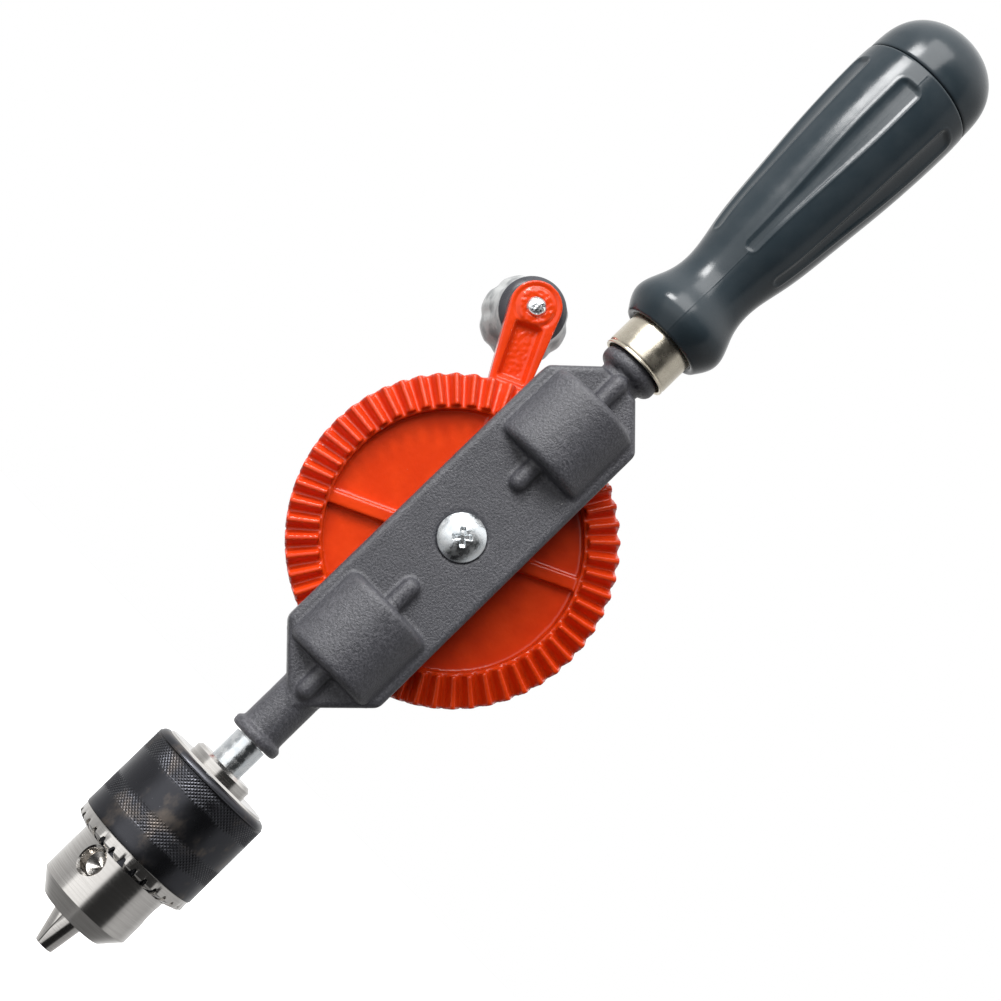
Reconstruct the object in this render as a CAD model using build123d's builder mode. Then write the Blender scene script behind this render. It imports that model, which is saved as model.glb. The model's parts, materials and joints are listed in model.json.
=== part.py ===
"""Hand drill with a two-pinion bevel drive, a keyed three-jaw chuck and a hollow screw-capped handle.

Frame of the model, in millimetres: the origin is the mouth of the closed jaws, +Z runs up the
spindle to the handle, the flat of the frame faces -Y, and the wheel, crank and knob are on the
+Y side. At rest the crank leans from +Z towards -X.
"""
from build123d import *
import math
import os

# ---------------------------------------------------------------- driving dimensions
# bevel gears: the pitch cones of the wheel and of both pinions meet on the wheel's axle
MODULE = 1.5
WHEEL_TEETH = 56
PINION_TEETH = 14
PRESSURE_ANGLE = math.radians(20)
BACKLASH = 0.30                      # along the pitch circle, shared by a wheel and a pinion tooth
WHEEL_Z = 137.4                      # height of the axle and of the cones' apex
CONE_OUT = MODULE * WHEEL_TEETH / 2  # from the apex to the outer ends of the teeth
CONE_IN = 33.7                       # from the apex to the inner ends of the teeth
PITCH_R = MODULE * PINION_TEETH / 2  # pinion pitch radius, and the wheel's pitch plane, outer end
ADDENDUM = 1.0 * MODULE
DEDENDUM = 1.25 * MODULE

# frame casting
FRAME_FRONT = 6.0                    # distance of the front face from the spindle axis
FRAME_BACK = 5.5
FRAME_HALF = 15.5                    # half the width
FRAME_TIP_Z = 79.6
FRAME_SHOULDER_Z = 182.3
NECK_R = 5.8
HAT_R = 14.2                         # half-round housings over the pinions
HAT_ROUND = 2.0
DRIVE_HAT = (91.8, 113.5)            # bottom and top of each housing
IDLER_HAT = (162.8, 184.4)
POCKET_R = 12.6                      # room for the pinions
HUB_POCKET_R = 9.0                   # room for their hubs and washers
DRIVE_POCKET = (93.3, 105.0, 111.1)  # bottom, step and top of the room
IDLER_POCKET = (165.6, 169.8, 181.4)
TUBE_R = 5.8
TUBE_Z = 67.7                        # bottom of the bearing tube
LIP_R = 6.95
LIP_TOP = 70.7
RIB_R = 2.3
RIB_AXIS_Y = -6.5
RIB_ENDS = (85.3, 120.0, 156.8, 191.3)  # centre of each rib's round end
RECESS_Z = (120.5, 156.5)
RECESS_DEPTH = 7.5
BOSS_AXLE_R = 9.0
HEAD_SEAT = 0.6
FLANGE_R = 8.1
FLANGE_Z = (194.3, 199.3)

# spindle and its bearings
SPINDLE_R = 4.5
JOURNAL_R = 3.5
END_JOURNAL_R = 3.0
SPINDLE_BOTTOM = 44.0
SPINDLE_SHOULDER = 67.4
SPINDLE_TOP = 119.0
RUNNING = 0.05                       # radial clearance of a shaft in its bearing
FRONT_BUSH_R = 4.5
END_BUSH_R = 4.2
END_BUSH_TOP = 119.4
THRUST = (108.05, 108.85, 110.25, 111.05)  # the two races of the thrust bearing, bottom to top
THRUST_R = 6.6
PINION_PIN_R = 1.0
PINION_PIN_Z = 105.9
HUB_R = 6.5                          # pinion hub
HUB_LENGTH = 4.3
ROD_R = 3.0                          # idler shaft and handle tang, one rod
ROD_Z = (161.2, 240.0)

# wheel, axle and crank, as distances from the spindle axis along Y
HUB_FRONT = 6.6
HUB_BACK = 21.1
WHEEL_HUB_R = 9.5
WEB = (12.5, 15.5)
RIM_BACK = 17.4
RIM_IN_R = 32.9
RIM_OUT_R = 41.6
WEB_RIB_FRONT = 10.3
AXLE_R = 3.0
BUSH_R = 4.5
SCREW_HEAD_R = 6.1
SCREW_HEAD = 3.2
NUT_FRONT = 22.6
NUT_BACK = 28.6
NUT_ACROSS_FLATS = 10.0
CRANK_ANGLE = 26.0                   # from +Z towards -X
CRANK_R = 63.4
ARM = (13.9, 18.8)
ARM_END_R = 6.8
ARM_ROOT_R = 5.0
ARM_ROOT_AT = 39.0
KNOB_R = 11.8
KNOB_NECK_R = 8.8
KNOB = (21.2, 48.0)
PIN_R = 2.4

# chuck
JAW_TILT = 15.0
JAW_R = 3.3
JAW_TIP_R = 2.3                      # radius of the three closed jaws at their tips
JAW_LENGTH = 36.0                    # measured along Z
JAW_SLIT = 0.25
JAW_FLAT = 10.5                      # keeps the backs of the open jaws inside the sleeve
GRIP_R = 0.75                        # smallest bit shank
KEY_ANGLE = 239.0                    # one key hole; the others follow at 120 degrees
KEY_Z = 22.8
KEY_R = 3.25
KEY_BOTTOM_R = 8.6
NOSE_Z = 9.2
NOSE_R = 9.1
BODY_R = 13.0
BODY_REAR_R = 15.1
BODY_TOP = 56.3
BOSS_R = 8.6
BOSS_TOP = 59.2
THROAT_R = 5.3
NUT = (29.0, 34.0)
NUT_R = 14.3
NUT_GROOVE_R = 9.6
SLEEVE = (26.4, 55.7)
SLEEVE_R = 17.15
KEY_RING_R = 16.9
KEY_RING_TOP = 30.6
KEY_TEETH = 30
KEY_ROOT_Z = 28.7

# handle
FERRULE = (198.3, 209.4)
FERRULE_R = 9.3
SPIGOT_R = 8.45
HANDLE_BOTTOM = 199.5
RIM_Z = 207.9
RIM_R = 11.2
HANDLE_TOP = 300.3
STORE_R = 10.0
STORE_Z = (243.0, 289.0)
MOUTH_R = 11.0
CAP_BOTTOM = 300.6
CAP_TOP = 319.0
FLUTES = 6
FLUTE_R = 12.0
FLUTE_BOTTOM = [(11.8, 240.0), (14.5, 268.0), (15.9, 290.5)]   # where a flute is deepest
FLUTE_ANGLE = 261.0                  # the flute nearest the front, measured from +X towards +Y
HANDLE_SIDE = [
    (RIM_R, RIM_Z), (14.0, 213.2), (11.75, 221.2), (10.6, 229.2),
    (12.35, 240.0), (14.15, 255.0), (15.7, 272.0), (16.7, 292.0),
]
HANDLE_END = [(16.76, 296.5), (16.55, HANDLE_TOP)]
CAP_SIDE = [(16.4, CAP_BOTTOM), (16.2, 306.0), (14.85, 311.0), (11.85, 315.0), (0, CAP_TOP)]

WHEEL_AXIS = Axis((0, 0, WHEEL_Z), (0, 1, 0))
WHEEL_PLANE = Plane(origin=(0, 0, WHEEL_Z), x_dir=(0, 0, 1), z_dir=(0, 1, 0))
CRANK_DIR = (-math.sin(math.radians(CRANK_ANGLE)), 0, math.cos(math.radians(CRANK_ANGLE)))
UP = (Align.CENTER, Align.CENTER, Align.MIN)
DOWN = (Align.CENTER, Align.CENTER, Align.MAX)

os.makedirs("parts", exist_ok=True)


def across(y):
    """The plane at this Y that faces +Y, with its x along +Z and its centre on the wheel's axle."""
    return Plane(origin=(0, y, WHEEL_Z), x_dir=(0, 0, 1), z_dir=(0, 1, 0))


def along_crank(y):
    """The plane at this Y that faces +Y, with its x along the crank."""
    return Plane(origin=(0, y, WHEEL_Z), x_dir=CRANK_DIR, z_dir=(0, 1, 0))


def ring(outer, inner, bottom, top):
    """A plain ring round the spindle axis."""
    with BuildSketch(Plane.XY.offset(bottom)) as section:
        Circle(outer)
        Circle(inner, mode=Mode.SUBTRACT)
    extrude(section.sketch, amount=top - bottom)


def ring_across(outer, inner, front, back):
    """A plain ring round the wheel's axle."""
    with BuildSketch(across(front)) as section:
        Circle(outer)
        Circle(inner, mode=Mode.SUBTRACT)
    extrude(section.sketch, amount=back - front)


def room(radius, bottom, top):
    """A round room on the spindle axis that is open towards the wheel."""
    with BuildSketch(Plane.XY.offset(bottom)) as section:
        Circle(radius)
        with Locations((0, radius)):
            Rectangle(2 * radius, 2 * radius)
    extrude(section.sketch, amount=top - bottom, mode=Mode.SUBTRACT)


def housing(bottom, top):
    """A half-round housing with rounded ends, on the flat face's side of the spindle axis."""
    with BuildPart() as half_round:
        with Locations((0, 0, bottom)):
            Cylinder(HAT_R, top - bottom, align=UP)
        fillet(half_round.edges().filter_by(GeomType.CIRCLE), HAT_ROUND)
        split(bisect_by=Plane.XZ, keep=Keep.TOP)
    return half_round.part


# ---------------------------------------------------------------- frame
housings = [housing(*DRIVE_HAT), housing(*IDLER_HAT)]

with BuildPart() as lip:
    ring(LIP_R, FRONT_BUSH_R, TUBE_Z, LIP_TOP)
    fillet(lip.faces().filter_by(GeomType.CYLINDER).sort_by(SortBy.AREA)[-1].edges(), 1.2)

with BuildPart() as flange:
    ring(FLANGE_R, ROD_R, *FLANGE_Z)
    fillet(flange.faces().filter_by(GeomType.CYLINDER).sort_by(SortBy.AREA)[-1].edges(), 2.2)

with BuildPart() as frame:
    # flat body, with pointed ends
    with BuildSketch(Plane.XZ.offset(FRAME_FRONT)) as outline:
        taper = FRAME_HALF - NECK_R
        shoulder = FRAME_TIP_Z + FRAME_HALF - 0.5
        Polygon(
            (0.5, FRAME_TIP_Z), (FRAME_HALF, shoulder), (FRAME_HALF, FRAME_SHOULDER_Z),
            (NECK_R, FRAME_SHOULDER_Z + taper), (-NECK_R, FRAME_SHOULDER_Z + taper),
            (-FRAME_HALF, FRAME_SHOULDER_Z), (-FRAME_HALF, shoulder), (-0.5, FRAME_TIP_Z),
            align=None,
        )
        corners = outline.vertices().group_by(Axis.X)
        fillet(corners[0] + corners[-1], 3.0)
    extrude(amount=-FRAME_FRONT - FRAME_BACK)
    fillet(frame.faces().sort_by(Axis.Y)[0].edges(), 1.0)
    add(housings)
    # half-round ribs from the housings along the flat face, each with a round end
    for housing_end, rounded_end in zip(DRIVE_HAT + IDLER_HAT, RIB_ENDS):
        with BuildSketch(Plane.XY.offset(housing_end)):
            with Locations((0, RIB_AXIS_Y)):
                Circle(RIB_R)
        extrude(amount=rounded_end - housing_end)
        with Locations((0, RIB_AXIS_Y, rounded_end)):
            Sphere(RIB_R)
    # bearing tube with its lip, and the neck with its flange
    with Locations((0, 0, TUBE_Z)):
        Cylinder(TUBE_R, DRIVE_HAT[0] - TUBE_Z, align=UP)
    add(lip.part)
    with Locations((0, 0, FRAME_SHOULDER_Z)):
        Cylinder(NECK_R, FLANGE_Z[0] - FRAME_SHOULDER_Z + 0.5, align=UP)
    add(flange.part)
    # rooms for the pinions and their hubs
    room(POCKET_R, DRIVE_POCKET[0], DRIVE_POCKET[1])
    room(HUB_POCKET_R, DRIVE_POCKET[1], DRIVE_POCKET[2])
    room(HUB_POCKET_R, IDLER_POCKET[0], IDLER_POCKET[1])
    room(POCKET_R, IDLER_POCKET[1], IDLER_POCKET[2])
    # bores for the two spindle bushes and for the rod
    with Locations((0, 0, TUBE_Z - 1)):
        Cylinder(FRONT_BUSH_R, DRIVE_POCKET[0] - TUBE_Z + 2, align=UP, mode=Mode.SUBTRACT)
    with Locations((0, 0, DRIVE_POCKET[2] - 1)):
        Cylinder(END_BUSH_R, END_BUSH_TOP - DRIVE_POCKET[2] + 1, align=UP, mode=Mode.SUBTRACT)
    with Locations((0, 0, ROD_Z[0])):
        Cylinder(ROD_R, ROD_Z[1] - ROD_Z[0], align=UP, mode=Mode.SUBTRACT)
    # recess in the back round the axle boss, the axle hole, and the seat of the screw's head
    with BuildSketch(across(FRAME_BACK)):
        with Locations(((RECESS_Z[0] + RECESS_Z[1]) / 2 - WHEEL_Z, 0)):
            Rectangle(RECESS_Z[1] - RECESS_Z[0], 2 * POCKET_R)
        Circle(BOSS_AXLE_R, mode=Mode.SUBTRACT)
    extrude(amount=-RECESS_DEPTH, mode=Mode.SUBTRACT)
    with BuildSketch(across(-FRAME_FRONT - 1)):
        Circle(AXLE_R + 0.1)
    extrude(amount=FRAME_FRONT + FRAME_BACK + 2, mode=Mode.SUBTRACT)
    with BuildSketch(across(-FRAME_FRONT)):
        Circle(SCREW_HEAD_R + 0.4)
    extrude(amount=HEAD_SEAT, mode=Mode.SUBTRACT)
frame.part.label = "frame"
export_step(frame.part, "parts/frame.step")

# ---------------------------------------------------------------- wheel and crank, one casting
half_tooth = math.pi * MODULE / 4 - BACKLASH / 4
with BuildPart() as wheel_tooth:
    # in the wheel's own frame, with the axle along z and the tooth along x
    for radius in (CONE_OUT, CONE_IN):
        scale_here = radius / CONE_OUT
        tip = scale_here * (PITCH_R - ADDENDUM)
        root = scale_here * (PITCH_R + DEDENDUM + 1)
        half_tip = scale_here * (half_tooth - ADDENDUM * math.tan(PRESSURE_ANGLE))
        half_root = scale_here * (half_tooth + (DEDENDUM + 1) * math.tan(PRESSURE_ANGLE))
        with BuildSketch(Plane.YZ.offset(radius)):
            Polygon((-half_tip, tip), (half_tip, tip), (half_root, root), (-half_root, root), align=None)
    loft(ruled=True)

with BuildPart() as gear_wheel:
    root_at_rim = (PITCH_R + DEDENDUM) / CONE_OUT
    with BuildSketch(Plane.XY.offset(WHEEL_Z)):
        Polygon(
            (BUSH_R + RUNNING, HUB_FRONT), (WHEEL_HUB_R, HUB_FRONT), (WHEEL_HUB_R, WEB[0]),
            (RIM_IN_R, WEB[0]), (RIM_IN_R, root_at_rim * RIM_IN_R), (RIM_OUT_R, root_at_rim * RIM_OUT_R),
            (RIM_OUT_R, RIM_BACK - 1), (RIM_OUT_R - 1, RIM_BACK), (RIM_IN_R - 1, RIM_BACK),
            (RIM_IN_R - 1, WEB[1]), (WHEEL_HUB_R + 1, WEB[1]), (WHEEL_HUB_R, HUB_BACK),
            (BUSH_R + RUNNING, HUB_BACK),
            align=None,
        )
    revolve(axis=WHEEL_AXIS)
    with Locations(WHEEL_PLANE):
        with PolarLocations(0, WHEEL_TEETH):
            add(wheel_tooth.part)
    # four ribs on the front of the web
    with BuildSketch(along_crank(WEB_RIB_FRONT)):
        with PolarLocations((WHEEL_HUB_R + RIM_IN_R) / 2, 4):
            Rectangle(RIM_IN_R - WHEEL_HUB_R + 2, 3.4)
    extrude(amount=WEB[0] - WEB_RIB_FRONT)
    # crank arm, wider towards the knob, with a sunk panel in its front
    with BuildSketch(along_crank(ARM[0])):
        with Locations((ARM_ROOT_AT, 0)):
            Circle(ARM_ROOT_R)
        with Locations((CRANK_R, 0)):
            Circle(ARM_END_R)
        make_hull()
    extrude(amount=ARM[1] - ARM[0])
    fillet(gear_wheel.faces().sort_by(Axis.Y)[-1].edges(), 1.0)
    with BuildSketch(along_crank(ARM[0])):
        with Locations((51.0, 0)):
            Rectangle(15.4, 7.6)
    extrude(amount=1.9, taper=28, mode=Mode.SUBTRACT)
    with BuildSketch(along_crank(ARM[0] - 1)):
        with Locations((CRANK_R, 0)):
            Circle(PIN_R)
    extrude(amount=ARM[1] - ARM[0] + 2, mode=Mode.SUBTRACT)
gear_wheel.part.label = "gear_wheel"
export_step(gear_wheel.part, "parts/gear_wheel.step")

# ---------------------------------------------------------------- axle
with BuildPart() as axle_screw:
    with BuildSketch(across(HEAD_SEAT - FRAME_FRONT)):
        Circle(AXLE_R)
    extrude(amount=NUT_BACK + 1.5 - HEAD_SEAT + FRAME_FRONT)
    with BuildSketch(across(HEAD_SEAT - FRAME_FRONT)):
        Circle(SCREW_HEAD_R)
    extrude(amount=-SCREW_HEAD)
    fillet(axle_screw.edges().sort_by(Axis.Y)[0], 2.4)
    # cross recess
    with BuildSketch(across(HEAD_SEAT - FRAME_FRONT - SCREW_HEAD)):
        Rectangle(6.2, 1.3)
        Rectangle(1.3, 6.2)
    extrude(amount=1.8, taper=12, mode=Mode.SUBTRACT)
axle_screw.part.label = "axle_screw"
export_step(axle_screw.part, "parts/axle_screw.step")

with BuildPart() as axle_bush:
    ring_across(BUSH_R, AXLE_R + 0.08, FRAME_BACK, HUB_BACK + 0.2)
axle_bush.part.label = "axle_bush"
export_step(axle_bush.part, "parts/axle_bush.step")

with BuildPart() as axle_washers:
    ring_across(WHEEL_HUB_R - 0.7, BUSH_R + 0.1, FRAME_BACK + 0.03, HUB_FRONT - 0.07)
    ring_across(WHEEL_HUB_R - 0.7, AXLE_R + 0.2, HUB_BACK + 0.23, NUT_FRONT - 0.03)
axle_washers.part.label = "axle_washers"
export_step(axle_washers.part, "parts/axle_washers.step")

with BuildPart() as axle_nut:
    # locking nut: a hexagon with a round collar that holds its ring
    with BuildSketch(across(NUT_FRONT)):
        RegularPolygon(NUT_ACROSS_FLATS / 2, 6, major_radius=False)
    extrude(amount=4.4)
    with BuildSketch(across(NUT_FRONT + 4.4)):
        Circle(NUT_ACROSS_FLATS / 2 - 0.4)
    extrude(amount=NUT_BACK - NUT_FRONT - 4.4)
    with BuildSketch(across(NUT_FRONT - 1)):
        Circle(AXLE_R + 0.02)
    extrude(amount=NUT_BACK - NUT_FRONT + 2, mode=Mode.SUBTRACT)
axle_nut.part.label = "axle_nut"
export_step(axle_nut.part, "parts/axle_nut.step")

# ---------------------------------------------------------------- knob on its riveted pin
with BuildPart() as crank_pin:
    with BuildSketch(along_crank(ARM[0])):
        with Locations((CRANK_R, 0)):
            Circle(PIN_R)
    extrude(amount=KNOB[1] - 2.6 - ARM[0])
    # peened end in front, flat head sunk in the knob behind
    with BuildSketch(along_crank(ARM[0])):
        with Locations((CRANK_R, 0)):
            Circle(PIN_R + 0.3)
    extrude(amount=-0.8, taper=30)
    with BuildSketch(along_crank(KNOB[1] - 2.6)):
        with Locations((CRANK_R, 0)):
            Circle(PIN_R + 1.8)
    extrude(amount=1.6)
crank_pin.part.label = "crank_pin"
export_step(crank_pin.part, "parts/crank_pin.step")

KNOB_AXIS = Axis((CRANK_R * CRANK_DIR[0], 0, WHEEL_Z + CRANK_R * CRANK_DIR[2]), (0, 1, 0))
KNOB_PLANE = Plane.XY.offset(WHEEL_Z + CRANK_R * CRANK_DIR[2])
KNOB_X = CRANK_R * CRANK_DIR[0]
with BuildPart() as knob:
    with BuildSketch(KNOB_PLANE):
        with BuildLine():
            side = Spline(
                (KNOB_X + KNOB_NECK_R, KNOB[0]), (KNOB_X + 9.6, KNOB[0] + 5.8), (KNOB_X + KNOB_R, KNOB[0] + 15.5),
                (KNOB_X + 9.9, KNOB[1] - 3.2), (KNOB_X + 6.5, KNOB[1]),
                tangents=((0, 1), (-1, 0)),
            )
            Polyline(side @ 1, (KNOB_X, KNOB[1]), (KNOB_X, KNOB[0]), side @ 0)
        make_face()
    revolve(axis=KNOB_AXIS)
    # eight shallow finger flats
    with Locations(Plane(origin=(KNOB_X, KNOB[0] + 3, KNOB_AXIS.position.Z), x_dir=(1, 0, 0), z_dir=(0, 1, 0))):
        with PolarLocations(KNOB_R + 5.0, 8):
            Cylinder(6.0, KNOB[1] - KNOB[0] - 4, align=UP, mode=Mode.SUBTRACT)
    # bore for the pin, and the sunk room for its head
    with BuildSketch(along_crank(KNOB[0] - 1)):
        with Locations((CRANK_R, 0)):
            Circle(PIN_R + RUNNING)
    extrude(amount=KNOB[1] - KNOB[0] + 2, mode=Mode.SUBTRACT)
    with BuildSketch(along_crank(KNOB[1] - 2.8)):
        with Locations((CRANK_R, 0)):
            Circle(PIN_R + 2.1)
    extrude(amount=4, mode=Mode.SUBTRACT)
knob.part.label = "knob"
export_step(knob.part, "parts/knob.step")

with BuildPart() as knob_collar:
    with BuildSketch(along_crank(ARM[1] + 0.1)):
        with Locations((CRANK_R, 0)):
            Circle(KNOB_NECK_R + 0.1)
            Circle(PIN_R + RUNNING, mode=Mode.SUBTRACT)
    extrude(amount=KNOB[0] - 0.03 - ARM[1] - 0.1)
knob_collar.part.label = "knob_collar"
export_step(knob_collar.part, "parts/knob_collar.step")

# ---------------------------------------------------------------- pinions
base_r = PITCH_R * math.cos(PRESSURE_ANGLE)
pitch_half_angle = (math.pi * MODULE / 2 - BACKLASH / 2) / (2 * PITCH_R)


def involute(angle):
    """The involute function of a pressure angle."""
    return math.tan(angle) - angle


def flank(radius):
    """Half the angle of a pinion tooth at this radius of the outer end."""
    pressure = math.acos(min(1, base_r / radius))
    return pitch_half_angle + involute(PRESSURE_ANGLE) - involute(pressure)


def at(radius, angle):
    """A point of the pinion's tooth, whose middle is along y."""
    return (radius * math.sin(angle), radius * math.cos(angle))


with BuildPart() as pinion_tooth:
    # tooth along +Y, with its outer end at z 0 and the apex of the cones at z CONE_OUT
    tip_r = PITCH_R + ADDENDUM
    root_r = PITCH_R - DEDENDUM
    for height in (0, CONE_OUT - CONE_IN):
        s = 1 - height / CONE_OUT
        radii = [base_r + (tip_r - base_r) * step / 3 for step in range(4)]
        with BuildSketch(Plane.XY.offset(height)):
            with BuildLine():
                right = Spline([at(s * r, flank(r)) for r in radii])
                left = Spline([at(s * r, -flank(r)) for r in radii])
                Line(right @ 1, left @ 1)
                Polyline(
                    right @ 0, at(s * root_r, flank(base_r) * 0.86), at(s * (root_r - 1), 0.1),
                    at(s * (root_r - 1), -0.1), at(s * root_r, -flank(base_r) * 0.86), left @ 0,
                )
            make_face()
    loft(ruled=True)

with BuildPart() as pinion:
    face_width = CONE_OUT - CONE_IN
    Cone(PITCH_R - DEDENDUM, (PITCH_R - DEDENDUM) * CONE_IN / CONE_OUT, face_width, align=UP)
    with PolarLocations(0, PINION_TEETH, start_angle=180 / PINION_TEETH):
        add(pinion_tooth.part)
    with Locations((0, 0, face_width)):
        Cylinder(HUB_R, HUB_LENGTH, align=UP)

with BuildPart() as drive_pinion:
    with Locations((0, 0, WHEEL_Z - CONE_OUT)):
        add(pinion.part)
        Cylinder(JOURNAL_R + 0.02, face_width + HUB_LENGTH, align=UP, mode=Mode.SUBTRACT)
    with Locations(Location((0, 0, PINION_PIN_Z), (0, 90, 0))):
        Cylinder(PINION_PIN_R, 3 * HUB_R, mode=Mode.SUBTRACT)
drive_pinion.part.label = "drive_pinion"
export_step(drive_pinion.part, "parts/drive_pinion.step")

with BuildPart() as idler_pinion:
    # the same casting the other way up, with a bore that runs on the rod
    with Locations(Location((0, 0, WHEEL_Z + CONE_OUT), (0, 180, 0))):
        add(pinion.part)
        Cylinder(ROD_R + RUNNING, face_width + HUB_LENGTH, align=UP, mode=Mode.SUBTRACT)
idler_pinion.part.label = "idler_pinion"
export_step(idler_pinion.part, "parts/idler_pinion.step")

with BuildPart() as pinion_pin:
    with Locations(Location((0, 0, PINION_PIN_Z), (0, 90, 0))):
        Cylinder(PINION_PIN_R - 0.01, 2 * HUB_R - 0.6)
        Cylinder(PINION_PIN_R - 0.5, 3 * HUB_R, mode=Mode.SUBTRACT)
pinion_pin.part.label = "pinion_pin"
export_step(pinion_pin.part, "parts/pinion_pin.step")

hub_top = WHEEL_Z - CONE_IN + HUB_LENGTH
hub_bottom = WHEEL_Z + CONE_IN - HUB_LENGTH
with BuildPart() as idler_washers:
    ring(HUB_R + 1.0, ROD_R + 0.1, IDLER_POCKET[0] + 0.05, hub_bottom - 0.1)
    ring(HUB_R + 1.0, ROD_R + 0.1, WHEEL_Z + CONE_OUT + 0.1, IDLER_POCKET[2] - 0.05)
idler_washers.part.label = "idler_washers"
export_step(idler_washers.part, "parts/idler_washers.step")

# ---------------------------------------------------------------- spindle and its bearings
with BuildPart() as spindle:
    with Locations((0, 0, SPINDLE_BOTTOM)):
        Cylinder(SPINDLE_R, SPINDLE_SHOULDER - SPINDLE_BOTTOM, align=UP)
    with Locations((0, 0, SPINDLE_SHOULDER)):
        Cylinder(JOURNAL_R, hub_top - SPINDLE_SHOULDER, align=UP)
    with Locations((0, 0, hub_top)):
        Cylinder(END_JOURNAL_R, SPINDLE_TOP - hub_top, align=UP)
    with Locations(Location((0, 0, PINION_PIN_Z), (0, 90, 0))):
        Cylinder(PINION_PIN_R, 3 * HUB_R, mode=Mode.SUBTRACT)
    chamfer(spindle.edges().filter_by(GeomType.CIRCLE).group_by(Axis.Z)[0], 0.6)
spindle.part.label = "spindle"
export_step(spindle.part, "parts/spindle.step")

with BuildPart() as front_bush:
    ring(FRONT_BUSH_R - 0.02, JOURNAL_R + RUNNING, TUBE_Z + 0.5, DRIVE_POCKET[0] - 0.1)
front_bush.part.label = "front_bush"
export_step(front_bush.part, "parts/front_bush.step")

with BuildPart() as end_bush:
    ring(END_BUSH_R - 0.02, END_JOURNAL_R + RUNNING, THRUST[3] + 0.05, END_BUSH_TOP - 0.1)
end_bush.part.label = "end_bush"
export_step(end_bush.part, "parts/end_bush.step")

with BuildPart() as pinion_washer:
    ring(HUB_R + 1.0, JOURNAL_R + 0.1, DRIVE_POCKET[0] + 0.1, WHEEL_Z - CONE_OUT - 0.05)
pinion_washer.part.label = "pinion_washer"
export_step(pinion_washer.part, "parts/pinion_washer.step")

with BuildPart() as thrust_races:
    ring(THRUST_R, END_JOURNAL_R + 0.1, THRUST[0], THRUST[1])
    ring(THRUST_R, END_JOURNAL_R + 0.1, THRUST[2], THRUST[3])
thrust_races.part.label = "thrust_races"
export_step(thrust_races.part, "parts/thrust_races.step")

ball_r = (THRUST[2] - THRUST[1]) / 2 - 0.02
with BuildPart() as thrust_balls:
    with Locations((0, 0, (THRUST[1] + THRUST[2]) / 2)):
        with PolarLocations((THRUST_R + END_JOURNAL_R) / 2, 14):
            Sphere(ball_r)
thrust_balls.part.label = "thrust_balls"
export_step(thrust_balls.part, "parts/thrust_balls.step")

# ---------------------------------------------------------------- chuck
jaw_axis_x = JAW_TIP_R - JAW_R / math.cos(math.radians(JAW_TILT))
with BuildPart() as chuck_body:
    with BuildSketch(Plane.XZ):
        Polygon(
            (THROAT_R, NOSE_Z), (NOSE_R, NOSE_Z), (BODY_R, 13.6),
            (BODY_R, NUT[0] - 0.1), (NUT_GROOVE_R, NUT[0] - 0.1), (NUT_GROOVE_R, NUT[1] + 0.1),
            (BODY_REAR_R, NUT[1] + 0.1), (BODY_REAR_R, BODY_TOP - 0.5), (BODY_REAR_R - 0.5, BODY_TOP),
            (BOSS_R, BODY_TOP), (BOSS_R, BOSS_TOP - 0.8), (BOSS_R - 0.8, BOSS_TOP), (SPINDLE_R + 0.02, BOSS_TOP),
            (SPINDLE_R + 0.02, SPINDLE_BOTTOM - 2), (THROAT_R, SPINDLE_BOTTOM - 2),
            align=None,
        )
    revolve(axis=Axis.Z)
    # sloping holes for the jaws, and the key holes between them
    with PolarLocations(0, 3, start_angle=KEY_ANGLE + 60):
        with Locations(Location((jaw_axis_x, 0, 0), (0, JAW_TILT, 0))):
            Cylinder(JAW_R + 0.06, 54.5 / math.cos(math.radians(JAW_TILT)), align=UP, mode=Mode.SUBTRACT)
    with PolarLocations(0, 3, start_angle=KEY_ANGLE):
        with Locations(Location((KEY_BOTTOM_R, 0, KEY_Z), (0, 90, 0))):
            Cylinder(KEY_R, BODY_R, align=UP, mode=Mode.SUBTRACT)
            Cone(0.1, KEY_R, 1.9, align=DOWN, mode=Mode.SUBTRACT)
        with Locations(Location((BODY_R - 0.75, 0, KEY_Z), (0, 90, 0))):
            Cone(KEY_R, KEY_R + 1.0, 1.0, align=UP, mode=Mode.SUBTRACT)
chuck_body.part.label = "chuck_body"
export_step(chuck_body.part, "parts/chuck_body.step")

with BuildPart() as jaw:
    # round bar on a slope, cut to a third of the circle, with its tip square to the spindle
    with Locations(Location((jaw_axis_x, 0, 0), (0, JAW_TILT, 0))):
        Cylinder(JAW_R, 2 * JAW_LENGTH / math.cos(math.radians(JAW_TILT)))
    wedge_x = JAW_SLIT / 2 / math.sin(math.radians(60))
    with BuildSketch():
        Polygon((wedge_x, 0), (wedge_x + 20, 20 * math.sqrt(3)), (wedge_x + 20, -20 * math.sqrt(3)), align=None)
        Circle(GRIP_R, mode=Mode.SUBTRACT)
        with Locations((JAW_FLAT, 0)):
            Rectangle(40, 80, align=(Align.MIN, Align.CENTER), mode=Mode.SUBTRACT)
    extrude(amount=JAW_LENGTH, mode=Mode.INTERSECT)

for number in (1, 2, 3):
    with BuildPart() as placed_jaw:
        with PolarLocations(0, 1, start_angle=KEY_ANGLE + 60 + 120 * (number - 1)):
            add(jaw.part)
    placed_jaw.part.label = f"jaw_{number}"
    export_step(placed_jaw.part, f"parts/jaw_{number}.step")

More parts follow.
